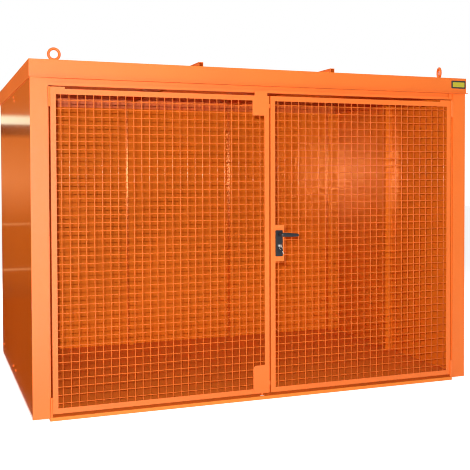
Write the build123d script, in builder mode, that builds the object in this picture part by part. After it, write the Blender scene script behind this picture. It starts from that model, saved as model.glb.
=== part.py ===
from build123d import *
import os

os.makedirs("parts", exist_ok=True)

# Store body, measured over the wall sheets, with heights above the ground
body_width = 3090
body_depth = 2080
tray_height = 22
wall_height = 2061
fascia_height = 111

# Sheet and section thicknesses
wall_sheet = 2
tray_sheet = 3
roof_sheet_thickness = 2
section_wall = 3

# Floor tray
tray_edge_inset = 105
bearer_width = 60
bearer_spacing = 600
bearer_count = 3

# Corner posts and the jamb strips beside the front ones
post_face = 100
post_depth = 60
jamb_width = 8
jamb_recess = 8
jamb_depth = 22

# Header over the doorway
header_drop = 43
header_depth = 45
header_recess = 12
header_band = 20
header_step = 6
header_end_width = 25

# Ribs inside the walls
rib_width = 40
rib_depth = 60
rib_spacing = 940

# Roof frame, its front lip and what stands on the roof
roof_overhang = 5
roof_member_depth = 50
roof_lip = 25
beam_width = 40
beam_height = 60
roof_rib_width = 30
roof_rib_height = 28
roof_rib_setback = 6

# Lifting eyes
eye_outer = 84
eye_bar = 17
eye_collar = 36
eye_collar_height = 10
eye_collar_taper = 20
eye_sink = 6
eye_side_inset = 158
eye_end_inset = 96
eye_turns = (0, 74, 90, 0)

# Door leaves: angle frames with welded mesh behind the front flange
leaf_side_gap = 11
leaf_centre_gap = 11
leaf_centre_shift = 7
leaf_top_gap = 20
leaf_bottom_gap = 20
leaf_recess = 2
leaf_flange = 33
leaf_depth = 35
leaf_wall = 3
mitre_angle = 45
corner_plate_length = 87
corner_plate_rise = 12

# Welded mesh
mesh_pitch = 50
mesh_wire = 5
left_mesh_rise = -3
right_mesh_rise = 6

# Hinges
hinge_barrel = 16
hinge_height = 120
hinge_pin = 8
hinge_bore_clearance = 0.1
hinge_split = 1
hinge_pin_reach = 45
hinge_axis_forward = 1
hinge_plate = 3
hinge_plate_depth = 26
hinge_tab = 4
hinge_bottom_gap = 3

# Shoot bolts of the left leaf
bolt_rod = 16
upper_bolt_length = 145
lower_bolt_length = 195
bolt_inset = 12
bolt_tip_gap = 2
bolt_hole_clearance = 1
bolt_slot_play = 18
guide_clearance = 0.1
bolt_plate_width = 84
bolt_plate_sheet = 3
upper_plate_height = 98
lower_plate_height = 180
lower_plate_overlap = 25
lower_plate_radius = 20
guide_height = 24
guide_margin = 6
guide_inset = 22
guide_spacing = 52
stop_plate_width = 90
stop_plate_rise = 32
stop_plate_inset = 12
gap_tab_height = 24
gap_tab_length = 6
gap_tab_inset = 32

# Lock on the right leaf
lock_height_above_ground = 1040
lock_plate_width = 64
lock_plate_height = 243
lock_case_depth = 28
lock_case_wall = 2
backplate_width = 51
backplate_height = 174
backplate_thickness = 9
backplate_radius = 6
backplate_chamfer = 2
handle_rise = 60
lever_neck = 19
lever_standoff = 50
lever_reach = 122
lever_root_height = 30
lever_tip_height = 21
lever_thickness = 12
lever_edge = 4
lever_drop = 5
lever_gap = 0.3
cylinder_drop = 16
cylinder_diameter = 17
cylinder_length = 5
key_blade = 3
key_shank = 8
key_reach = 12
key_bow = 24
key_bow_hole = 8

# Positions that follow from the sizes above
x_side = body_width / 2
y_front = -body_depth / 2
y_back = body_depth / 2
deck = tray_height
eaves = deck + wall_height
roof_top = eaves + fascia_height
roof_under = roof_top - roof_sheet_thickness
x_post = x_side - wall_sheet - post_face / 2
x_post_inner = x_side - wall_sheet - post_face
x_jamb_inner = x_post_inner - jamb_width
x_leaf_outer = x_jamb_inner - leaf_side_gap
x_left_free = leaf_centre_shift - leaf_centre_gap / 2
x_right_free = leaf_centre_shift + leaf_centre_gap / 2
header_bottom = eaves - header_drop
leaf_bottom = deck + leaf_bottom_gap
leaf_top = header_bottom - leaf_top_gap
leaf_height = leaf_top - leaf_bottom
z_leaf = (leaf_top + leaf_bottom) / 2
y_leaf = y_front + leaf_recess
y_mesh = y_leaf + leaf_wall
x_hinge = x_leaf_outer + hinge_barrel / 2
y_hinge = y_front - hinge_axis_forward
x_bolt = x_left_free - leaf_flange - bolt_inset
y_bolt = y_mesh + mesh_wire + guide_margin + bolt_rod / 2
x_rib = rib_spacing / 2
z_lock = lock_height_above_ground


def save(piece, name, surface_curves=True):
    piece.label = name
    export_step(piece, f"parts/{name}.step", write_pcurves=surface_curves)


# Floor tray: a flat deck whose edges are folded down to the ground, with bearers across it
# and a slot for the lower bolt
with BuildPart() as floor_tray:
    with BuildSketch(Plane.XY.offset(deck - tray_sheet)):
        Rectangle(body_width, body_depth)
    extrude(amount=tray_sheet)
    with BuildSketch(Plane.XY):
        Rectangle(body_width - 2 * tray_edge_inset, body_depth)
        offset(amount=-tray_sheet, mode=Mode.SUBTRACT)
    extrude(amount=deck - tray_sheet)
    with BuildSketch(Plane.YZ.offset(-x_side + tray_edge_inset)):
        with Locations((0, (deck - tray_sheet) / 2)):
            with GridLocations(bearer_spacing, 1, bearer_count, 1):
                Rectangle(bearer_width, deck - tray_sheet)
                Rectangle(bearer_width - 2 * tray_sheet, deck - 3 * tray_sheet, mode=Mode.SUBTRACT)
    extrude(amount=body_width - 2 * tray_edge_inset)
    with BuildSketch(Plane.XY.offset(deck - tray_sheet)):
        with Locations((x_bolt, y_bolt)):
            SlotCenterToCenter(bolt_slot_play, bolt_rod + 2 * bolt_hole_clearance)
    extrude(amount=tray_sheet, mode=Mode.SUBTRACT)
save(floor_tray.part, "floor_tray")


# Corner posts: box sections, the front ones with a jamb strip beside the doorway
def corner_post(name, side, end):
    y_post = end * (y_back - post_depth / 2)
    if end > 0:
        y_post -= wall_sheet
    with BuildPart() as post:
        with BuildSketch(Plane.XY.offset(deck)):
            with Locations((side * x_post, y_post)):
                Rectangle(post_face, post_depth)
                offset(amount=-section_wall, mode=Mode.SUBTRACT)
            if end < 0:
                x_jamb = side * (x_post_inner - jamb_width / 2)
                with Locations((x_jamb, y_front + jamb_recess + jamb_depth / 2)):
                    Rectangle(jamb_width, jamb_depth)
        extrude(amount=wall_height)
    save(post.part, name)


corner_post("front_left_post", -1, -1)
corner_post("front_right_post", 1, -1)
corner_post("rear_left_post", -1, 1)
corner_post("rear_right_post", 1, 1)

# Header: a folded section over the doorway with a stepped face, a slot for the upper bolt and
# end plates level with the jamb strips
y_band = y_front + header_recess
y_step = y_band + header_step
z_band = header_bottom + header_band
with BuildPart() as header:
    with BuildSketch(Plane.YZ.offset(-x_jamb_inner)):
        with BuildLine():
            Polyline(
                (y_band, header_bottom),
                (y_front + header_depth, header_bottom),
                (y_front + header_depth, header_bottom + section_wall),
                (y_band + section_wall, header_bottom + section_wall),
                (y_band + section_wall, z_band - section_wall),
                (y_step + section_wall, z_band - section_wall),
                (y_step + section_wall, eaves),
                (y_step, eaves),
                (y_step, z_band),
                (y_band, z_band),
                close=True,
            )
        make_face()
    extrude(amount=2 * x_jamb_inner)
    with BuildSketch(Plane.XY.offset(header_bottom)):
        with Locations((x_bolt, y_bolt)):
            SlotCenterToCenter(bolt_slot_play, bolt_rod + 2 * bolt_hole_clearance)
    extrude(amount=section_wall, mode=Mode.SUBTRACT)
    x_header_end = x_jamb_inner - header_end_width / 2
    with BuildSketch(Plane((0, y_band, eaves - header_drop / 2), x_dir=(1, 0, 0), z_dir=(0, -1, 0))):
        with Locations((-x_header_end, 0), (x_header_end, 0)):
            Rectangle(header_end_width, header_drop)
    extrude(amount=header_recess - jamb_recess)
save(header.part, "header")

# Back wall: one flat sheet behind the rear posts
with BuildPart() as back_wall:
    with BuildSketch(Plane.XY.offset(deck)):
        with Locations((0, y_back - wall_sheet / 2)):
            Rectangle(body_width, wall_sheet)
    extrude(amount=wall_height)
save(back_wall.part, "back_wall")


# Side walls: flat sheets outside the posts
def side_wall(name, side):
    with BuildPart() as wall:
        with BuildSketch(Plane.XY.offset(deck)):
            with Locations((side * (x_side - wall_sheet / 2), -wall_sheet / 2)):
                Rectangle(wall_sheet, body_depth - wall_sheet)
        extrude(amount=wall_height)
    save(wall.part, name)


side_wall("left_wall", -1)
side_wall("right_wall", 1)


# Wall ribs: hat sections standing on the deck against a wall sheet
def wall_rib(name, plane):
    with BuildPart() as rib:
        with BuildSketch(plane):
            with Locations((0, rib_depth / 2)):
                Rectangle(rib_width, rib_depth)
            with Locations((0, (rib_depth - section_wall) / 2)):
                Rectangle(rib_width - 2 * section_wall, rib_depth - section_wall, mode=Mode.SUBTRACT)
        extrude(amount=wall_height)
    save(rib.part, name)


y_rear_sheet = y_back - wall_sheet
x_side_sheet = x_side - wall_sheet
wall_rib("rear_rib_left", Plane((-x_rib, y_rear_sheet, deck), x_dir=(-1, 0, 0), z_dir=(0, 0, 1)))
wall_rib("rear_rib_right", Plane((x_rib, y_rear_sheet, deck), x_dir=(-1, 0, 0), z_dir=(0, 0, 1)))
wall_rib("left_wall_rib", Plane((-x_side_sheet, 0, deck), x_dir=(0, -1, 0), z_dir=(0, 0, 1)))
wall_rib("right_wall_rib", Plane((x_side_sheet, 0, deck), x_dir=(0, 1, 0), z_dir=(0, 0, 1)))

# Roof frame: channel members all round, whose web is the fascia, with a lip along the front
roof_width = body_width + 2 * roof_overhang
roof_depth = body_depth + 2 * roof_overhang
with BuildPart() as roof_frame:
    with BuildSketch(Plane.XY.offset(eaves)):
        Rectangle(roof_width, roof_depth)
        offset(amount=-roof_member_depth, mode=Mode.SUBTRACT)
    extrude(amount=section_wall)
    with BuildSketch(Plane.XY.offset(eaves)):
        Rectangle(roof_width, roof_depth)
        offset(amount=-section_wall, mode=Mode.SUBTRACT)
    extrude(amount=roof_under - eaves)
    with BuildSketch(Plane.XY.offset(eaves)):
        with Locations((0, -roof_depth / 2 - roof_lip / 2)):
            Rectangle(roof_width, roof_lip)
    extrude(amount=section_wall)
save(roof_frame.part, "roof_frame")

# Roof sheet over the frame
with BuildPart() as roof_sheet:
    with BuildSketch(Plane.XY.offset(roof_under)):
        Rectangle(roof_width, roof_depth)
    extrude(amount=roof_sheet_thickness)
save(roof_sheet.part, "roof_sheet")


# Pairs of channel sections along the depth: beams under the roof sheet and ribs on top of it
def channel_pair(name, z_base, width, height, length):
    with BuildPart() as channels:
        with BuildSketch(Plane((0, length / 2, z_base), x_dir=(1, 0, 0), z_dir=(0, -1, 0))):
            with Locations((-x_rib, height / 2), (x_rib, height / 2)):
                Rectangle(width, height)
            hollow = height - section_wall
            with Locations((-x_rib, hollow / 2), (x_rib, hollow / 2)):
                Rectangle(width - 2 * section_wall, hollow, mode=Mode.SUBTRACT)
        extrude(amount=length)
    save(channels.part, name)


beam_length = roof_depth - 2 * section_wall
roof_rib_length = roof_depth - 2 * roof_rib_setback
channel_pair("ceiling_beams", roof_under - beam_height, beam_width, beam_height, beam_length)
channel_pair("roof_ribs", roof_top, roof_rib_width, roof_rib_height, roof_rib_length)


# Lifting eyes: forged rings on collars at the four roof corners
def lifting_eye(name, side, end, turn):
    x_eye = side * (x_side - eye_side_inset)
    y_eye = end * (y_back - eye_end_inset)
    z_ring = roof_top + eye_collar_height - eye_sink + eye_outer / 2
    ring_centre = Vector(x_eye, y_eye, z_ring)
    ring_axis = Vector(0, -1, 0).rotate(Axis.Z, turn)
    section_plane = Plane(ring_centre, x_dir=(0, 0, 1), z_dir=ring_axis.cross(Vector(0, 0, 1)))
    with BuildPart() as eye:
        with BuildSketch(Plane((x_eye, y_eye, roof_top))):
            Circle(eye_collar / 2)
        extrude(amount=eye_collar_height, taper=eye_collar_taper)
        with BuildSketch(section_plane):
            with Locations(((eye_outer - eye_bar) / 2, 0)):
                Circle(eye_bar / 2)
        revolve(axis=Axis(ring_centre, ring_axis))
    save(eye.part, name)


lifting_eye("lifting_eye_front_left", -1, -1, eye_turns[0])
lifting_eye("lifting_eye_front_right", 1, -1, eye_turns[1])
lifting_eye("lifting_eye_rear_left", -1, 1, eye_turns[2])
lifting_eye("lifting_eye_rear_right", 1, 1, eye_turns[3])


# Door leaf members: angle sections mitred at the corners, with one flange in front and the
# other round the leaf's edge. A member's plane lies in the leaf's front, with its origin in the
# middle of the member's outer edge and its Y pointing into the leaf.
def leaf_size(side):
    free_edge = x_right_free if side > 0 else x_left_free
    width = x_leaf_outer - side * free_edge
    return width, free_edge + side * width / 2


def rail_plane(side, end):
    edge = (leaf_size(side)[1], y_leaf, z_leaf + end * leaf_height / 2)
    return Plane(edge, x_dir=(-end, 0, 0), z_dir=(0, -1, 0))


def stile_plane(side, end):
    leaf_width, x_leaf = leaf_size(side)
    return Plane((x_leaf + end * leaf_width / 2, y_leaf, z_leaf), x_dir=(0, 0, end), z_dir=(0, -1, 0))


# Rails, each leaf's upper one with a plate over its hinge corner. The left leaf's rails let the
# bolt rods through, and its upper one carries the stop plate in front of the header.
def leaf_rails(name, side):
    leaf_width = leaf_size(side)[0]
    with BuildPart() as rails:
        for end in (-1, 1):
            with BuildSketch(rail_plane(side, end)):
                Trapezoid(leaf_width, leaf_flange, mitre_angle, align=(Align.CENTER, Align.MIN))
            extrude(amount=-leaf_wall)
            with BuildSketch(rail_plane(side, end)):
                Trapezoid(leaf_width, leaf_wall, mitre_angle, align=(Align.CENTER, Align.MIN))
            extrude(amount=-leaf_depth)
        with BuildSketch(rail_plane(side, 1)):
            with Locations((-side * (leaf_width - corner_plate_length) / 2, -corner_plate_rise / 2)):
                Rectangle(corner_plate_length, corner_plate_rise)
            if side < 0:
                stop_x = stop_plate_inset + (stop_plate_width - leaf_width) / 2
                with Locations((stop_x, -stop_plate_rise / 2)):
                    Rectangle(stop_plate_width, stop_plate_rise)
        extrude(amount=-leaf_wall)
        if side < 0:
            with BuildSketch(Plane.XY.offset(leaf_bottom)):
                with Locations((x_bolt, y_bolt)):
                    Circle(bolt_rod / 2 + bolt_hole_clearance)
            extrude(amount=leaf_height, mode=Mode.SUBTRACT)
    save(rails.part, name)


# Stiles, the left leaf's free one with the tabs across the centre gap
def leaf_stiles(name, side):
    with BuildPart() as stiles:
        for end in (-1, 1):
            with BuildSketch(stile_plane(side, end)):
                Trapezoid(leaf_height, leaf_flange, mitre_angle, align=(Align.CENTER, Align.MIN))
            extrude(amount=-leaf_wall)
            with BuildSketch(stile_plane(side, end)):
                Trapezoid(leaf_height, leaf_wall, mitre_angle, align=(Align.CENTER, Align.MIN))
            extrude(amount=-leaf_depth)
        if side < 0:
            tab_level = leaf_height / 2 - leaf_flange - gap_tab_inset
            with BuildSketch(stile_plane(side, 1)):
                with Locations((-tab_level, -gap_tab_length / 2), (tab_level, -gap_tab_length / 2)):
                    Rectangle(gap_tab_height, gap_tab_length)
            extrude(amount=-leaf_wall)
    save(stiles.part, name)


for leaf_name, side in (("left", -1), ("right", 1)):
    leaf_rails(f"{leaf_name}_leaf_rails", side)
    leaf_stiles(f"{leaf_name}_leaf_stiles", side)

# Mesh panels: one welded grid behind each leaf's front flange, in three bands that meet at the
# middle of a wire. As many whole meshes as fit inside the leaf are centred in its width, and sit
# a little above or below the middle of its height.
mesh_rows = int((leaf_height - 2 * leaf_wall - mesh_wire) // mesh_pitch)
band_rows = mesh_rows // 3
mesh_bands = (
    ("lower", 0, band_rows),
    ("middle", band_rows, band_rows),
    ("upper", 2 * band_rows, mesh_rows - 2 * band_rows),
)
window = mesh_pitch - mesh_wire


def leaf_mesh(leaf_name, side, rise):
    leaf_width, x_leaf = leaf_size(side)
    columns = int((leaf_width - 2 * leaf_wall - mesh_wire) // mesh_pitch)
    for band_name, first_row, rows in mesh_bands:
        z_band_middle = z_leaf + rise + (first_row + (rows - mesh_rows) / 2) * mesh_pitch
        with BuildPart() as mesh_band:
            with BuildSketch(Plane((x_leaf, y_mesh, z_band_middle), x_dir=(1, 0, 0), z_dir=(0, -1, 0))):
                outline = Rectangle(columns * mesh_pitch + mesh_wire, rows * mesh_pitch, mode=Mode.PRIVATE)
                with GridLocations(mesh_pitch, mesh_pitch, columns, rows):
                    windows = Rectangle(window, window, mode=Mode.PRIVATE)
                add(Face(outline.wire(), [hole.outer_wire() for hole in windows.faces()]))
            extrude(amount=-mesh_wire)
        save(mesh_band.part, f"{leaf_name}_mesh_{band_name}", surface_curves=False)


leaf_mesh("left", -1, left_mesh_rise)
leaf_mesh("right", 1, right_mesh_rise)


# Hinges: lift-off barrels, the lower half with its pin on the post, the upper half on the leaf
hinge_half = (hinge_height - hinge_split) / 2
hinge_bases = (deck + hinge_bottom_gap, leaf_top + corner_plate_rise - hinge_height)


def post_hinges(name, side):
    with BuildPart() as barrels:
        for base in hinge_bases:
            with BuildSketch(Plane.XY.offset(base)):
                with Locations((side * x_hinge, y_hinge)):
                    Circle(hinge_barrel / 2)
                tab_length = x_post_inner - x_hinge
                with Locations((side * (x_hinge + tab_length / 2), y_front + jamb_recess - hinge_tab / 2)):
                    Rectangle(tab_length, hinge_tab)
            extrude(amount=hinge_half)
            with BuildSketch(Plane.XY.offset(base + hinge_half)):
                with Locations((side * x_hinge, y_hinge)):
                    Circle(hinge_pin / 2)
            extrude(amount=hinge_pin_reach)
    save(barrels.part, name)


def leaf_hinges(name, side):
    with BuildPart() as sleeves:
        for base in hinge_bases:
            with BuildSketch(Plane.XY.offset(base + hinge_half + hinge_split)):
                with Locations((side * x_hinge, y_hinge)):
                    Circle(hinge_barrel / 2)
                with Locations((side * (x_leaf_outer + hinge_plate / 2), y_leaf + hinge_plate_depth / 2)):
                    Rectangle(hinge_plate, hinge_plate_depth)
                with Locations((side * x_hinge, y_hinge)):
                    Circle(hinge_pin / 2 + hinge_bore_clearance, mode=Mode.SUBTRACT)
            extrude(amount=hinge_half)
    save(sleeves.part, name)


post_hinges("left_post_hinges", -1)
post_hinges("right_post_hinges", 1)
leaf_hinges("left_leaf_hinges", -1)
leaf_hinges("right_leaf_hinges", 1)

# Bolt plates of the left leaf, beside its free stile: the upper one flush with the frame, the
# lower one on the front of the bottom rail
x_plate = x_left_free - leaf_flange - bolt_plate_width / 2
opening_low = leaf_bottom + leaf_flange
opening_high = leaf_top - leaf_flange
with BuildPart() as bolt_plates:
    with BuildSketch(Plane((x_plate, y_leaf, opening_high), x_dir=(1, 0, 0), z_dir=(0, -1, 0))):
        with Locations((0, -upper_plate_height / 2)):
            Rectangle(bolt_plate_width, upper_plate_height)
    extrude(amount=-leaf_wall)
    with BuildSketch(Plane((x_plate, y_leaf, opening_low), x_dir=(1, 0, 0), z_dir=(0, -1, 0))):
        with Locations((0, lower_plate_height / 2 - lower_plate_overlap)):
            Rectangle(bolt_plate_width, lower_plate_height)
        rounded = vertices().group_by(Axis.Y)[-1].sort_by(Axis.X)[0]
        fillet(rounded, radius=lower_plate_radius)
    extrude(amount=bolt_plate_sheet)
save(bolt_plates.part, "bolt_plates")

# Guides that carry the bolt rods behind the plates
y_guide_front = y_mesh + mesh_wire
guide_width = bolt_rod + 2 * guide_margin
guide_levels = (
    opening_low + guide_inset,
    opening_low + guide_inset + guide_spacing,
    opening_high - guide_inset - guide_spacing,
    opening_high - guide_inset,
)
with BuildPart() as bolt_guides:
    for level in guide_levels:
        with BuildSketch(Plane.XY.offset(level - guide_height / 2)):
            with Locations((x_bolt, y_bolt)):
                Rectangle(guide_width, guide_width)
                Circle(bolt_rod / 2 + guide_clearance, mode=Mode.SUBTRACT)
        extrude(amount=guide_height)
save(bolt_guides.part, "bolt_guides")


# Bolt rods, which stop just short of the header and the deck so that the leaf can swing
def bolt_rod_piece(name, base, length):
    with BuildPart() as rod:
        with BuildSketch(Plane.XY.offset(base)):
            with Locations((x_bolt, y_bolt)):
                Circle(bolt_rod / 2)
        extrude(amount=length)
    save(rod.part, name)


bolt_rod_piece("upper_bolt", header_bottom - bolt_tip_gap - upper_bolt_length, upper_bolt_length)
bolt_rod_piece("lower_bolt", deck + bolt_tip_gap, lower_bolt_length)

# Lock of the right leaf: front plate beside the stile and case behind the mesh
x_lock_plate = x_right_free + leaf_flange + lock_plate_width / 2
x_lock = x_right_free + leaf_flange + backplate_width / 2
with BuildPart() as lock_plate:
    with BuildSketch(Plane((x_lock_plate, y_leaf, z_lock), x_dir=(1, 0, 0), z_dir=(0, -1, 0))):
        Rectangle(lock_plate_width, lock_plate_height)
    extrude(amount=-leaf_wall)
save(lock_plate.part, "lock_plate")

with BuildPart() as lock_case:
    with BuildSketch(Plane((x_lock_plate, y_guide_front, z_lock), x_dir=(1, 0, 0), z_dir=(0, -1, 0))):
        Rectangle(lock_plate_width, lock_plate_height)
    extrude(amount=-lock_case_depth)
    offset(amount=-lock_case_wall, openings=faces().sort_by(Axis.Y)[0])
save(lock_case.part, "lock_case")

with BuildPart() as handle_backplate:
    with BuildSketch(Plane((x_lock, y_leaf, z_lock), x_dir=(1, 0, 0), z_dir=(0, -1, 0))):
        RectangleRounded(backplate_width, backplate_height, backplate_radius)
    extrude(amount=backplate_thickness)
    chamfer(faces().sort_by(Axis.Y)[0].edges(), length=backplate_chamfer)
save(handle_backplate.part, "handle_backplate")

# Lever handle: a round neck and a flat grip that narrows and drops towards its tip
y_backplate = y_leaf - backplate_thickness
y_neck = y_backplate - lever_gap
y_grip = y_neck - lever_standoff
z_lever = z_lock + handle_rise
with BuildPart() as lever_handle:
    with BuildSketch(Plane((x_lock, y_neck, z_lever), x_dir=(1, 0, 0), z_dir=(0, -1, 0))):
        Circle(lever_neck / 2)
    extrude(amount=lever_standoff)
    grip_root = Vector(x_lock, y_grip + lever_thickness / 2, z_lever)
    grip_tip = grip_root + Vector(lever_reach, 0, -lever_drop)
    with BuildSketch(Plane(grip_root, x_dir=(0, 1, 0), z_dir=(1, 0, 0))):
        RectangleRounded(lever_thickness, lever_root_height, lever_edge)
    with BuildSketch(Plane(grip_tip, x_dir=(0, 1, 0), z_dir=(1, 0, 0))):
        RectangleRounded(lever_thickness, lever_tip_height, lever_edge)
    loft()
save(lever_handle.part, "lever_handle")

# Lock cylinder face and its key
z_cylinder = z_lock - cylinder_drop
with BuildPart() as lock_cylinder:
    with BuildSketch(Plane((x_lock, y_backplate, z_cylinder), x_dir=(1, 0, 0), z_dir=(0, -1, 0))):
        Circle(cylinder_diameter / 2)
    extrude(amount=cylinder_length)
save(lock_cylinder.part, "lock_cylinder")

y_key = y_backplate - cylinder_length - lever_gap
with BuildPart() as key:
    key_plane = Plane((x_lock, y_key, z_cylinder), x_dir=(0, -1, 0), z_dir=(1, 0, 0))
    with BuildSketch(key_plane):
        with Locations((key_reach / 2, 0)):
            Rectangle(key_reach, key_shank)
        with Locations((key_reach + key_bow / 2 - key_blade, 0)):
            Circle(key_bow / 2)
            Circle(key_bow_hole / 2, mode=Mode.SUBTRACT)
    extrude(amount=key_blade / 2, both=True)
save(key.part, "key")
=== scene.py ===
import math

import bmesh
import bpy
from mathutils import Matrix, Vector


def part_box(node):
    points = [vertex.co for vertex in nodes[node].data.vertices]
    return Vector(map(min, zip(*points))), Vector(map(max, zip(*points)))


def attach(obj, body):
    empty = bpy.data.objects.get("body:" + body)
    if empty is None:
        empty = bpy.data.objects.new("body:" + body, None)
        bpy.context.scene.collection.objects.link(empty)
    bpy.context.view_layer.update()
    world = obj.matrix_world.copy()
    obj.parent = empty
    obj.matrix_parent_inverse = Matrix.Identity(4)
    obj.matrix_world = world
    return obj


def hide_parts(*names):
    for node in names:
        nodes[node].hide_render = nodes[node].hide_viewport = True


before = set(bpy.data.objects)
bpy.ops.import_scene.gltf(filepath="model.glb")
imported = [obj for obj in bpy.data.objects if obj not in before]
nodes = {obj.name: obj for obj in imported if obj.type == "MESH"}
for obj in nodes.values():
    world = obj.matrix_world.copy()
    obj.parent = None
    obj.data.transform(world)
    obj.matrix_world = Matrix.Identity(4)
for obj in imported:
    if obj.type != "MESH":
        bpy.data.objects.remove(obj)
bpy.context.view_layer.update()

# Materials

ORANGE = (0.80, 0.152, 0.009)
# Painted light: the inside paint is a lighter, yellower copy of ORANGE that stands for the light
# inside the store
LIT_INNER_ORANGE = (0.81, 0.192, 0.014)
FLOOR_ORANGE = (0.93, 0.235, 0.020)
NICKEL = (0.50, 0.49, 0.47)
STICKER_YELLOW = (0.45, 0.40, 0.025)
STICKER_BLACK = (0.012, 0.011, 0.010)
BLACK_LOW = (0.009, 0.010, 0.013)
BLACK_HIGH = (0.016, 0.018, 0.023)
NEUTRAL = (1.0, 1.0, 1.0)
WARM_GLOSS = (1.0, 0.50, 0.20)
OUTER_ROUGHNESS = 0.50
NICKEL_ROUGHNESS = 0.34
# How far the paint's shade strays from its colour, and the noises that move shade, gloss and peel
DARKEST = 0.95
LIGHTEST = 1.04
SHADE_SCALE = 1.7
GLOSS_SCALE = 90.0
PEEL_SCALE = 420.0
PAINT_DETAIL = 2.0
PEEL_DEPTH = 0.0006
# The part of a noise over which its colours blend
RAMP_START = 0.35
RAMP_END = 0.65


def new_material(name):
    material = bpy.data.materials.new(name)
    material.use_nodes = True
    tree = material.node_tree
    shader = tree.nodes["Principled BSDF"]
    return material, tree, shader


def add_noise(tree, scale, detail, stretch=None):
    coords = tree.nodes.new("ShaderNodeTexCoord").outputs["Object"]
    noise = tree.nodes.new("ShaderNodeTexNoise")
    noise.inputs["Scale"].default_value = scale
    noise.inputs["Detail"].default_value = detail
    if stretch:
        mapping = tree.nodes.new("ShaderNodeMapping")
        mapping.inputs["Scale"].default_value = stretch
        tree.links.new(coords, mapping.inputs["Vector"])
        coords = mapping.outputs["Vector"]
    tree.links.new(coords, noise.inputs["Vector"])
    return noise.outputs["Fac"]


def add_ramp(tree, source, low, high):
    ramp = tree.nodes.new("ShaderNodeValToRGB")
    ramp.color_ramp.elements[0].position = RAMP_START
    ramp.color_ramp.elements[0].color = (*low, 1.0)
    ramp.color_ramp.elements[1].position = RAMP_END
    ramp.color_ramp.elements[1].color = (*high, 1.0)
    tree.links.new(source, ramp.inputs["Fac"])
    return ramp.outputs["Color"]


def add_range(tree, source, low, high):
    node = tree.nodes.new("ShaderNodeMapRange")
    node.inputs["To Min"].default_value = low
    node.inputs["To Max"].default_value = high
    tree.links.new(source, node.inputs["Value"])
    return node.outputs["Result"]


def add_bump(tree, shader, source, strength, distance):
    bump = tree.nodes.new("ShaderNodeBump")
    bump.inputs["Strength"].default_value = strength
    bump.inputs["Distance"].default_value = distance
    tree.links.new(source, bump.inputs["Height"])
    tree.links.new(bump.outputs["Normal"], shader.inputs["Normal"])


def scaled(colour, factor):
    return tuple(min(1.0, c * factor) for c in colour)


# 1 on the faces whose normal looks along +X, +Y or +Z, 0 elsewhere
def facing(tree, axis):
    coords = tree.nodes.new("ShaderNodeTexCoord")
    split = tree.nodes.new("ShaderNodeSeparateXYZ")
    tree.links.new(coords.outputs["Normal"], split.inputs["Vector"])
    beyond = tree.nodes.new("ShaderNodeMath")
    beyond.operation = "GREATER_THAN"
    beyond.inputs[1].default_value = 0.5
    tree.links.new(split.outputs[axis], beyond.inputs[0])
    return beyond.outputs[0]


# A painted sheet with an outward axis is ORANGE and duller on the side that looks that way; the
# other side keeps its given colour, which for the inside is a lighter painted-light copy of ORANGE
def paint(name, colour, roughness, specular, coat, peel=0.03, coat_roughness=0.12, tint=NEUTRAL,
          outward=None):
    material, tree, shader = new_material(name)
    broad = add_noise(tree, SHADE_SCALE, PAINT_DETAIL)
    shade = add_ramp(tree, broad, scaled(colour, DARKEST), scaled(colour, LIGHTEST))
    fine = add_noise(tree, GLOSS_SCALE, PAINT_DETAIL)
    rough = add_range(tree, fine, roughness * 0.85, roughness * 1.2)
    if outward:
        outside = facing(tree, outward)
        outer_shade = add_ramp(tree, broad, scaled(ORANGE, DARKEST), scaled(ORANGE, LIGHTEST))
        shade_mix = tree.nodes.new("ShaderNodeMix")
        shade_mix.data_type = "RGBA"
        tree.links.new(outside, shade_mix.inputs["Factor"])
        # Sockets 6 and 7 are the two colours, output 2 is the mixed one
        tree.links.new(shade, shade_mix.inputs[6])
        tree.links.new(outer_shade, shade_mix.inputs[7])
        shade = shade_mix.outputs[2]
        duller = tree.nodes.new("ShaderNodeMath")
        duller.operation = "MULTIPLY_ADD"
        tree.links.new(outside, duller.inputs[0])
        duller.inputs[1].default_value = OUTER_ROUGHNESS - roughness
        tree.links.new(rough, duller.inputs[2])
        rough = duller.outputs[0]
    tree.links.new(shade, shader.inputs["Base Color"])
    tree.links.new(rough, shader.inputs["Roughness"])
    add_bump(tree, shader, add_noise(tree, PEEL_SCALE, PAINT_DETAIL), peel, PEEL_DEPTH)
    shader.inputs["Specular IOR Level"].default_value = specular
    shader.inputs["Specular Tint"].default_value = (*tint, 1.0)
    shader.inputs["Coat Weight"].default_value = coat
    shader.inputs["Coat Roughness"].default_value = coat_roughness
    return material


# Glossy inside paint in the lighter painted-light copy of the orange
def glossy_paint(name, outward=None):
    return paint(name, LIT_INNER_ORANGE, roughness=0.19, specular=1.0, coat=0.0, tint=WARM_GLOSS,
                 outward=outward)


# One fine noise that tints and roughens a material and, with a bump of (strength, depth), dents it
def grained(name, scale, detail, tints, roughness, bump=None, stretch=None):
    material, tree, shader = new_material(name)
    grain = add_noise(tree, scale, detail, stretch)
    tree.links.new(add_ramp(tree, grain, *tints), shader.inputs["Base Color"])
    tree.links.new(add_range(tree, grain, *roughness), shader.inputs["Roughness"])
    if bump:
        add_bump(tree, shader, grain, *bump)
    return material, shader


def sticker(name, colour, roughness):
    tints = (scaled(colour, 0.96), scaled(colour, 1.03))
    return grained(name, scale=260.0, detail=2.0, tints=tints,
                   roughness=(roughness * 0.9, roughness * 1.1))[0]


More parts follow.
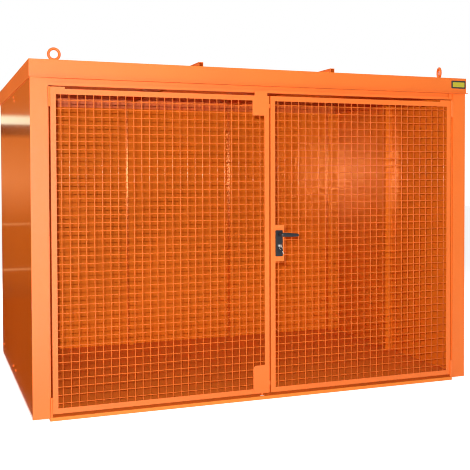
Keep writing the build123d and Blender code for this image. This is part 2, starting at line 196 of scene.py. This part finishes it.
section_paint = paint("section_paint", ORANGE, roughness=0.54, specular=0.6, coat=0.10, peel=0.06)
sheet_paint = paint("sheet_paint", ORANGE, roughness=0.24, specular=0.25, coat=0.75, peel=0.02,
                    coat_roughness=0.045)
inner_lit_paint = glossy_paint("inner_lit_paint")
# Painted shade: the wires take the frame's orange darkened to 0.88, so that they look dimmer than
# the frame
wire_shaded_paint = paint("wire_shaded_paint", scaled(ORANGE, 0.88), roughness=0.42, specular=0.3, coat=0.1)
deck, _ = grained("deck_paint", scale=650.0, detail=6.0,
                  tints=(scaled(FLOOR_ORANGE, 0.72), scaled(FLOOR_ORANGE, 1.10)),
                  roughness=(0.42, 0.66), bump=(0.25, 0.0008))
black, black_shader = grained("handle_black", scale=700.0, detail=3.0,
                              tints=(BLACK_LOW, BLACK_HIGH), roughness=(0.32, 0.44),
                              bump=(0.08, 0.0004))
black_shader.inputs["Specular IOR Level"].default_value = 0.3
nickel, nickel_shader = grained("nickel", scale=300.0, detail=4.0,
                                tints=(scaled(NICKEL, 0.85), scaled(NICKEL, 1.08)),
                                roughness=(NICKEL_ROUGHNESS * 0.8, NICKEL_ROUGHNESS * 1.25),
                                bump=(0.1, 0.0003), stretch=(1.0, 1.0, 0.15))
nickel_shader.inputs["Metallic"].default_value = 1.0
sticker_yellow = sticker("sticker_yellow", STICKER_YELLOW, roughness=0.40)
sticker_black = sticker("sticker_black", STICKER_BLACK, roughness=0.35)

finishes = {"floor_tray": deck, "handle_backplate": black, "lever_handle": black,
            "lock_cylinder": nickel, "key": nickel, "left_wall": sheet_paint}
for name in ("rear_rib_left", "rear_rib_right", "left_wall_rib", "right_wall_rib",
             "rear_left_post", "rear_right_post", "ceiling_beams"):
    finishes[name] = inner_lit_paint
for name, outward in (("back_wall", "Y"), ("right_wall", "X"), ("roof_sheet", "Z")):
    finishes[name] = glossy_paint(f"{name}_paint", outward)
for name, obj in nodes.items():
    obj.data.materials.clear()
    obj.data.materials.append(finishes.get(name, section_paint))


# Pieces made here

def link_mesh(mesh, name, material):
    data = bpy.data.meshes.new(name)
    mesh.to_mesh(data)
    mesh.free()
    data.materials.append(material)
    obj = bpy.data.objects.new(name, data)
    bpy.context.scene.collection.objects.link(obj)
    return obj


# A piece with a smooth angle, in degrees, keeps sharp edges only where it bends more than that
def finish_piece(mesh, name, material, body, smooth=None):
    obj = link_mesh(mesh, name, material)
    if smooth is not None:
        for polygon in obj.data.polygons:
            polygon.use_smooth = True
        obj.data.set_sharp_from_angle(angle=math.radians(smooth))
    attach(obj, body)
    return obj


# Quads between two rings of vertices that run the same way
def join_rings(mesh, first, second):
    for k in range(len(first)):
        after = (k + 1) % len(first)
        mesh.faces.new((first[k], first[after], second[after], second[k]))


def add_rod(mesh, start, end, radius, sides=10):
    start = Vector(start)
    end = Vector(end)
    along = (end - start).normalized()
    across = along.orthogonal().normalized()
    other = along.cross(across)
    rings = []
    for centre in (start, end):
        ring = []
        for k in range(sides):
            turn = 2 * math.pi * (k + 0.5) / sides
            offset = across * math.cos(turn) + other * math.sin(turn)
            ring.append(mesh.verts.new(centre + offset * radius))
        rings.append(ring)
    join_rings(mesh, *rings)
    mesh.faces.new(list(reversed(rings[0])))
    mesh.faces.new(rings[1])


# Welded mesh: upright wires in front, level wires pressed into them from behind
PITCH = 0.050
WIRE = 0.0050
PRESSED = 0.7
for leaf in ("left", "right"):
    low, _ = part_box(f"{leaf}_mesh_lower")
    _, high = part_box(f"{leaf}_mesh_upper")
    y_upright = low.y + WIRE / 2
    y_level = y_upright + WIRE * PRESSED
    columns = round((high.x - low.x - WIRE) / PITCH)
    rows = round((high.z - low.z) / PITCH)
    grid = bmesh.new()
    for column in range(columns + 1):
        x = low.x + WIRE / 2 + column * PITCH
        add_rod(grid, (x, y_upright, low.z), (x, y_upright, high.z), WIRE / 2)
    for row in range(rows + 1):
        z = low.z + row * PITCH
        z = min(max(z, low.z + WIRE / 2), high.z - WIRE / 2)
        add_rod(grid, (low.x, y_level, z), (high.x, y_level, z), WIRE / 2)
    wires = finish_piece(grid, f"{leaf}_leaf_wires", wire_shaded_paint, f"{leaf}_leaf",
                         smooth=50)
    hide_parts(f"{leaf}_mesh_lower", f"{leaf}_mesh_middle", f"{leaf}_mesh_upper")


# Bolt heads on the outside of both side walls, as (y, z): four at the middle rib, the last at
# the rear post. Each is a hexagon with a chamfered top on a washer.
BOLT_PLACES = ((-0.065, 2.050), (-0.112, 2.022), (0.140, 0.104), (-0.030, 0.105), (0.952, 0.115))
BOLT_FLATS = 0.013
BOLT_HEIGHT = 0.006
WASHER_RADIUS = 0.010
WASHER_THICKNESS = 0.0015
WASHER_SIDES = 24


def add_bolt_head(mesh, centre, outward):
    turn = Vector(outward).to_track_quat("Z", "Y").to_matrix().to_4x4()
    place = Matrix.Translation(Vector(centre)) @ turn
    corner = BOLT_FLATS / 2 / math.cos(math.pi / 6)
    washer = ((WASHER_RADIUS, 0.0), (WASHER_RADIUS, WASHER_THICKNESS))
    shank = ((corner, WASHER_THICKNESS), (corner, BOLT_HEIGHT * 0.8))
    chamfer = ((corner, BOLT_HEIGHT * 0.8), (BOLT_FLATS / 2 * 0.92, BOLT_HEIGHT))
    for levels, sides in ((washer, WASHER_SIDES), (shank, 6), (chamfer, 6)):
        rings = []
        for radius, height in levels:
            ring = []
            for k in range(sides):
                angle = 2 * math.pi * k / sides
                corner_place = Vector((radius * math.cos(angle), radius * math.sin(angle), height))
                ring.append(mesh.verts.new(place @ corner_place))
            rings.append(ring)
        join_rings(mesh, *rings)
        mesh.faces.new(rings[1])


wall_low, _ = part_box("left_wall")
heads = bmesh.new()
for side in (-1, 1):
    for y, z in BOLT_PLACES:
        add_bolt_head(heads, (side * abs(wall_low.x), y, z), (side, 0, 0))
finish_piece(heads, "wall_bolts", section_paint, "store", smooth=30)


# Plain sticker at the right end of the fascia: a black border under a yellow field.
# A rectangle is (low x, high x, low z, high z).
FASCIA_Y = -1.045
BORDER_RECTANGLE = (1.424, 1.546, 2.120, 2.176)
BORDER_RADIUS = 0.006
BORDER_Y = FASCIA_Y - 0.0004
FIELD_RECTANGLE = (1.436, 1.536, 2.130, 2.165)
FIELD_RADIUS = 0.003
FIELD_Y = FASCIA_Y - 0.0007
CORNER_STEPS = 6


def rounded_plate(rectangle, y_back, y_front, radius):
    x0, x1, z0, z1 = rectangle
    corners = ((x1 - radius, z1 - radius, 0), (x0 + radius, z1 - radius, 90),
               (x0 + radius, z0 + radius, 180), (x1 - radius, z0 + radius, 270))
    outline = []
    for cx, cz, start in corners:
        for k in range(CORNER_STEPS + 1):
            angle = math.radians(start + 90 * k / CORNER_STEPS)
            outline.append((cx + radius * math.cos(angle), cz + radius * math.sin(angle)))
    mesh = bmesh.new()
    back = [mesh.verts.new((x, y_back, z)) for x, z in outline]
    front = [mesh.verts.new((x, y_front, z)) for x, z in outline]
    join_rings(mesh, back, front)
    mesh.faces.new(front)
    return mesh


finish_piece(rounded_plate(BORDER_RECTANGLE, FASCIA_Y, BORDER_Y, BORDER_RADIUS),
             "sticker_border", sticker_black, "store")
finish_piece(rounded_plate(FIELD_RECTANGLE, BORDER_Y, FIELD_Y, FIELD_RADIUS),
             "sticker_field", sticker_yellow, "store")


# Lever: a round neck that bends into a flat grip with a rounded front and tip
lock_low, lock_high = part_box("handle_backplate")
lever_low, lever_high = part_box("lever_handle")
x_lock = (lock_low.x + lock_high.x) / 2
Z_LEVER = 1.100
LEVER_DROP = 0.005
NECK_RADIUS = 0.0095
BEND = 0.013
GRIP_THICKNESS = 0.012
GRIP_HALF = GRIP_THICKNESS / 2
ROOT_HALF_HEIGHT = 0.0145
TIP_HALF_HEIGHT = 0.0105
TIP_LENGTH = 0.010
# Powers of the superellipse that a section follows
ROUND = 2.0
SQUARISH = 2.5
NECK_STEPS = 5
BEND_STEPS = 8
GRIP_STEPS = 14
TIP_STEPS = 7
# The tip stops just short of a full quarter turn, so that its last ring stays a ring
QUARTER_STEPS = 7.4


# Each station is (centre, direction along the lever, half width, half height, power)
def lever_stations():
    y_neck = lever_high.y
    y_grip = lever_low.y + GRIP_HALF
    stations = []
    for k in range(NECK_STEPS + 1):
        y = y_neck + (y_grip + BEND - y_neck) * k / NECK_STEPS
        centre = Vector((x_lock, y, Z_LEVER))
        stations.append((centre, Vector((0, -1, 0)), NECK_RADIUS, NECK_RADIUS, ROUND))
    for k in range(1, BEND_STEPS + 1):
        part = k / BEND_STEPS
        turn = math.radians(90) * part
        centre = Vector((x_lock + BEND - BEND * math.cos(turn),
                         y_grip + BEND - BEND * math.sin(turn), Z_LEVER))
        along = Vector((math.sin(turn), -math.cos(turn), 0))
        half_wide = NECK_RADIUS + (GRIP_HALF - NECK_RADIUS) * part
        half_high = NECK_RADIUS + (ROOT_HALF_HEIGHT - NECK_RADIUS) * part
        stations.append((centre, along, half_wide, half_high, ROUND + (SQUARISH - ROUND) * part))
    start = x_lock + BEND
    length = lever_high.x - start
    along = Vector((1, 0, 0))
    for k in range(1, GRIP_STEPS + 1):
        part = k / GRIP_STEPS
        run = part * (length - TIP_LENGTH)
        centre = Vector((start + run, y_grip, Z_LEVER - LEVER_DROP * part))
        half_high = ROOT_HALF_HEIGHT + (TIP_HALF_HEIGHT - ROOT_HALF_HEIGHT) * part
        stations.append((centre, along, GRIP_HALF, half_high, SQUARISH))
    for k in range(1, TIP_STEPS + 1):
        turn = math.radians(90) * k / QUARTER_STEPS
        centre = Vector((lever_high.x - TIP_LENGTH + TIP_LENGTH * math.sin(turn), y_grip,
                         Z_LEVER - LEVER_DROP))
        stations.append((centre, along, GRIP_HALF * math.cos(turn),
                         TIP_HALF_HEIGHT * math.cos(turn), SQUARISH))
    return stations


def loft_stations(mesh, stations, sides=36):
    rings = []
    for centre, along, half_wide, half_high, power in stations:
        across = Vector((-along.y, along.x, 0))
        ring = []
        for k in range(sides):
            turn = 2 * math.pi * k / sides
            c = math.cos(turn)
            s = math.sin(turn)
            wide = math.copysign(abs(c) ** (2 / power), c) * half_wide
            high = math.copysign(abs(s) ** (2 / power), s) * half_high
            ring.append(mesh.verts.new(centre + across * wide + Vector((0, 0, high))))
        rings.append(ring)
    for ring, after in zip(rings, rings[1:]):
        join_rings(mesh, ring, after)
    mesh.faces.new(list(reversed(rings[0])))
    mesh.faces.new(rings[-1])
    bmesh.ops.recalc_face_normals(mesh, faces=mesh.faces)


lever = bmesh.new()
loft_stations(lever, lever_stations())
lever_piece = finish_piece(lever, "lever_grip", black, "lever", smooth=50)
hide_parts("lever_handle")


# Key ring through the key's bow, with the second key hanging from it
RING_RADIUS = 0.0105
RING_WIRE = 0.0009
BOW_SETBACK = 0.012
BOW_HOLE_RADIUS = 0.004


def add_ring(mesh, centre, radius, wire, turns=40, sides=10):
    rings = []
    for j in range(turns):
        turn = 2 * math.pi * j / turns
        outward = Vector((math.sin(turn), 0, math.cos(turn)))
        ring = []
        for k in range(sides):
            bend = 2 * math.pi * k / sides
            offset = outward * (radius + wire * math.cos(bend))
            offset += Vector((0, wire * math.sin(bend), 0))
            ring.append(mesh.verts.new(Vector(centre) + offset))
        rings.append(ring)
    for j in range(turns):
        join_rings(mesh, rings[j], rings[(j + 1) % turns])


key_low, key_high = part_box("key")
bow_centre = Vector((x_lock, key_low.y + BOW_SETBACK, (key_low.z + key_high.z) / 2))
ring_centre = bow_centre + Vector((0, 0, -BOW_HOLE_RADIUS + RING_WIRE - RING_RADIUS))
ring_mesh = bmesh.new()
add_ring(ring_mesh, ring_centre, RING_RADIUS, RING_WIRE)
finish_piece(ring_mesh, "key_ring", nickel, "key", smooth=60)

# The second key: a black bow on the ring and a toothed blade. An outline runs along the key and
# across it, from the middle of the bow.
KEY_TILT = math.radians(27)
BLADE_THICKNESS = 0.0022
BOW_THICKNESS = 0.0044
BOW_RADIUS = 0.0080
BOW_HOLE_EDGE = 0.0035
BOW_SIDES = 32
down = Vector((math.sin(KEY_TILT), 0, -math.cos(KEY_TILT)))
aside = Vector((math.cos(KEY_TILT), 0, math.sin(KEY_TILT)))
bow_middle = ring_centre + down * (RING_RADIUS + BOW_RADIUS - BOW_HOLE_EDGE)
turns = [math.radians(360 * k / BOW_SIDES) for k in range(BOW_SIDES)]
bow_outline = [(BOW_RADIUS * math.cos(turn), BOW_RADIUS * math.sin(turn)) for turn in turns]
blade_outline = ((0.0060, -0.0032), (0.0270, -0.0032), (0.0290, -0.0016), (0.0290, 0.0004),
                 (0.0270, 0.0024), (0.0245, 0.0016), (0.0225, 0.0028), (0.0200, 0.0012),
                 (0.0180, 0.0026), (0.0155, 0.0014), (0.0130, 0.0030), (0.0110, 0.0022),
                 (0.0095, 0.0034), (0.0060, 0.0034))


def flat_piece(outline, thickness, name, material):
    mesh = bmesh.new()
    plates = []
    for y_side in (-thickness / 2, thickness / 2):
        plates.append([mesh.verts.new(bow_middle + down * a + aside * b + Vector((0, y_side, 0)))
                       for a, b in outline])
    join_rings(mesh, *plates)
    mesh.faces.new(plates[0])
    mesh.faces.new(list(reversed(plates[1])))
    bmesh.ops.recalc_face_normals(mesh, faces=mesh.faces)
    rim = [edge for edge in mesh.edges if abs(edge.verts[0].co.y - edge.verts[1].co.y) < 1e-6]
    bmesh.ops.bevel(mesh, geom=rim, offset=thickness * 0.2, segments=2, affect="EDGES")
    return finish_piece(mesh, name, material, "key", smooth=40)


flat_piece(bow_outline, BOW_THICKNESS, "spare_key_bow", black)
flat_piece(blade_outline, BLADE_THICKNESS, "spare_key_blade", nickel)


# Floor, light and camera

SEEING_RAYS = ("Is Camera Ray", "Is Glossy Ray", "Is Transmission Ray")
WHITE = (1.0, 1.0, 1.0, 1.0)
FLOOR_GREY = (0.80, 0.80, 0.80, 1.0)
FLOOR_ROUGHNESS = 0.9
FLOOR_GLOW = 0.75
FLOOR_HALF_SIZE = 30.0
FLOOR_DROP = 0.0005
SOFT_LIGHT = 0.11


# The first shader, or the second one on the rays that see it directly or in a gloss
def mix_by_ray(tree, first, second):
    path = tree.nodes.new("ShaderNodeLightPath")
    factor = path.outputs[SEEING_RAYS[0]]
    for name in SEEING_RAYS[1:]:
        both = tree.nodes.new("ShaderNodeMath")
        both.operation = "MAXIMUM"
        tree.links.new(factor, both.inputs[0])
        tree.links.new(path.outputs[name], both.inputs[1])
        factor = both.outputs[0]
    mix = tree.nodes.new("ShaderNodeMixShader")
    tree.links.new(factor, mix.inputs[0])
    tree.links.new(first, mix.inputs[1])
    tree.links.new(second, mix.inputs[2])
    return mix.outputs[0]


floor_material, floor_tree, floor_shader = new_material("studio_floor")
floor_shader.inputs["Base Color"].default_value = FLOOR_GREY
floor_shader.inputs["Roughness"].default_value = FLOOR_ROUGHNESS
glow = floor_tree.nodes.new("ShaderNodeEmission")
glow.inputs["Strength"].default_value = FLOOR_GLOW
lit = floor_tree.nodes.new("ShaderNodeAddShader")
floor_tree.links.new(floor_shader.outputs[0], lit.inputs[0])
floor_tree.links.new(glow.outputs[0], lit.inputs[1])
floor_tree.links.new(mix_by_ray(floor_tree, floor_shader.outputs[0], lit.outputs[0]),
                     floor_tree.nodes["Material Output"].inputs["Surface"])
floor_mesh = bmesh.new()
bmesh.ops.create_grid(floor_mesh, x_segments=1, y_segments=1, size=FLOOR_HALF_SIZE)
floor = link_mesh(floor_mesh, "studio_floor", floor_material)
floor.location.z = -FLOOR_DROP


# Painted reflections: glowing flags that only a gloss sees. Stops are (height, colour) from the
# ground up to FLAG_TOP.
FLAG_TOP = 6.0
# Colour of the painted reflection of dark ground beside the left wall
PAINTED_GROUND_REFLECTION = (0.16, 0.018, 0.001)
# Colour of the painted dark reflection that the sheets inside see through the doors
PAINTED_DOOR_REFLECTION = (0.02, 0.004, 0.001)


def painted_reflection_flag(name, corners, stops, strength):
    material, tree, _ = new_material(name)
    coords = tree.nodes.new("ShaderNodeTexCoord")
    split = tree.nodes.new("ShaderNodeSeparateXYZ")
    tree.links.new(coords.outputs["Object"], split.inputs["Vector"])
    level = tree.nodes.new("ShaderNodeMapRange")
    level.inputs["From Max"].default_value = FLAG_TOP
    tree.links.new(split.outputs["Z"], level.inputs["Value"])
    ramp = tree.nodes.new("ShaderNodeValToRGB")
    tree.links.new(level.outputs["Result"], ramp.inputs["Fac"])
    while len(ramp.color_ramp.elements) < len(stops):
        ramp.color_ramp.elements.new(1.0)
    for element, (height, colour) in zip(ramp.color_ramp.elements, stops):
        element.position = height / FLAG_TOP
        element.color = (*colour, 1.0)
    emission = tree.nodes.new("ShaderNodeEmission")
    emission.inputs["Strength"].default_value = strength
    tree.links.new(ramp.outputs["Color"], emission.inputs["Color"])
    tree.links.new(emission.outputs[0], tree.nodes["Material Output"].inputs["Surface"])
    mesh = bmesh.new()
    mesh.faces.new([mesh.verts.new(corner) for corner in corners])
    flag = link_mesh(mesh, name, material)
    flag.visible_camera = False
    flag.visible_diffuse = False
    flag.visible_transmission = False
    flag.visible_shadow = False


# Painted reflection for the left wall: glowing bands that stand for a lit wall behind it, and a
# dark ground beside it
painted_reflection_stops = ((0.0, (0.12, 0.012, 0.001)), (0.335, (0.20, 0.035, 0.003)),
              (0.35, (0.50, 0.22, 0.09)), (0.365, (0.22, 0.040, 0.004)),
              (0.895, (0.26, 0.050, 0.005)), (0.91, (0.55, 0.24, 0.10)),
              (0.925, (0.27, 0.052, 0.005)), (1.45, (0.54, 0.165, 0.050)),
              (1.97, (0.42, 0.105, 0.020)), (2.03, (0.03, 0.003, 0.0)),
              (2.13, (0.02, 0.0, 0.0)), (2.16, (0.95, 0.92, 0.66)),
              (2.23, (0.95, 0.88, 0.60)), (2.27, (0.36, 0.08, 0.015)),
              (FLAG_TOP, (0.36, 0.08, 0.015)))
painted_reflection_flag("rear_reflection_flag",
           ((-1.62, 4.5, 0), (-9, 4.5, 0), (-9, 4.5, FLAG_TOP), (-1.62, 4.5, FLAG_TOP)),
           painted_reflection_stops, 1.5)
painted_reflection_flag("ground_reflection_flag",
           ((-1.56, -1.2, 0.001), (-9, -1.2, 0.001), (-9, 4.5, 0.001), (-1.56, 4.5, 0.001)),
           ((0.0, PAINTED_GROUND_REFLECTION), (FLAG_TOP, PAINTED_GROUND_REFLECTION)), 1.5)
# Painted reflection for the sheets inside: a dark glowing plane in the door opening that stands in
# for the white world there
painted_reflection_flag("door_reflection_flag",
           ((-1.41, -0.998, 0.04), (1.41, -0.998, 0.04), (1.41, -0.998, 2.02),
            (-1.41, -0.998, 2.02)),
           ((0.0, PAINTED_DOOR_REFLECTION), (FLAG_TOP, PAINTED_DOOR_REFLECTION)), 1.0)

world = bpy.data.worlds.new("studio")
bpy.context.scene.world = world
world.use_nodes = True
world_tree = world.node_tree
soft = world_tree.nodes["Background"]
white = world_tree.nodes.new("ShaderNodeBackground")
for background, strength in ((soft, SOFT_LIGHT), (white, 1.0)):
    background.inputs["Color"].default_value = WHITE
    background.inputs["Strength"].default_value = strength
world_tree.links.new(mix_by_ray(world_tree, soft.outputs[0], white.outputs[0]),
                     world_tree.nodes["World Output"].inputs["Surface"])

# The camera fitted to the photo
CAMERA_PLACE = Vector((-2.128, -6.183, 1.478))
CAMERA_YAW = math.radians(20.85)
CAMERA_PITCH = math.radians(-1.49)
CAMERA_ROLL = math.radians(-0.17)
CAMERA_LENS = 64.13
CAMERA_SENSOR = 36.0
CAMERA_SHIFT = (-0.0219, -0.0753)
ahead = Vector((math.sin(CAMERA_YAW) * math.cos(CAMERA_PITCH),
                math.cos(CAMERA_YAW) * math.cos(CAMERA_PITCH), math.sin(CAMERA_PITCH)))
right = Vector((math.cos(CAMERA_YAW), -math.sin(CAMERA_YAW), 0.0))
upward = right.cross(ahead)
right_rolled = right * math.cos(CAMERA_ROLL) + upward * math.sin(CAMERA_ROLL)
up_rolled = -right * math.sin(CAMERA_ROLL) + upward * math.cos(CAMERA_ROLL)
turned = Matrix((right_rolled, up_rolled, -ahead)).transposed().to_4x4()
camera_data = bpy.data.cameras.new("camera")
camera_data.sensor_fit = "HORIZONTAL"
camera_data.sensor_width = CAMERA_SENSOR
camera_data.lens = CAMERA_LENS
camera_data.shift_x, camera_data.shift_y = CAMERA_SHIFT
camera_data.clip_end = 200.0
camera = bpy.data.objects.new("camera", camera_data)
camera.matrix_world = Matrix.Translation(CAMERA_PLACE) @ turned
bpy.context.scene.collection.objects.link(camera)
bpy.context.scene.camera = camera


def add_light(name, place, aim, power, width, height):
    data = bpy.data.lights.new(name, "AREA")
    data.shape = "RECTANGLE"
    data.size = width
    data.size_y = height
    data.energy = power
    obj = bpy.data.objects.new(name, data)
    obj.location = place
    obj.rotation_euler = (Vector(aim) - Vector(place)).to_track_quat("-Z", "Y").to_euler()
    bpy.context.scene.collection.objects.link(obj)
    return obj


# The flash beside the camera, and fills that no gloss sees: place, aim, watts, width, height
add_light("flash", (-2.17, -6.15, 1.563), (0.2, -0.4, 1.1), 315.0, 0.042, 0.003)
fills = (("softbox", (0.3, -5.5, 4.6), (0.0, -0.5, 0.8), 60.0, 2.5, 1.2),
         ("left_fill", (-6.0, 0.3, 2.2), (-1.5, 0.0, 1.2), 125.0, 3.0, 2.0),
         ("right_fill", (6.0, 0.3, 2.2), (1.5, 0.0, 1.2), 140.0, 3.0, 2.0),
         ("rear_fill", (0.0, 6.0, 2.6), (0.0, 1.0, 1.2), 120.0, 3.0, 2.0),
         ("top_fill", (0.0, 0.1, 4.6), (0.0, 0.1, 2.2), 65.0, 2.4, 1.6))
for name, place, aim, power, width, height in fills:
    add_light(name, place, aim, power, width, height).visible_glossy = False

# A narrow pixel filter keeps the wires' shadows on the back wall
FILTER_WIDTH = 1.0
bpy.context.scene.cycles.filter_width = FILTER_WIDTH
bpy.context.scene.view_settings.view_transform = "Standard"
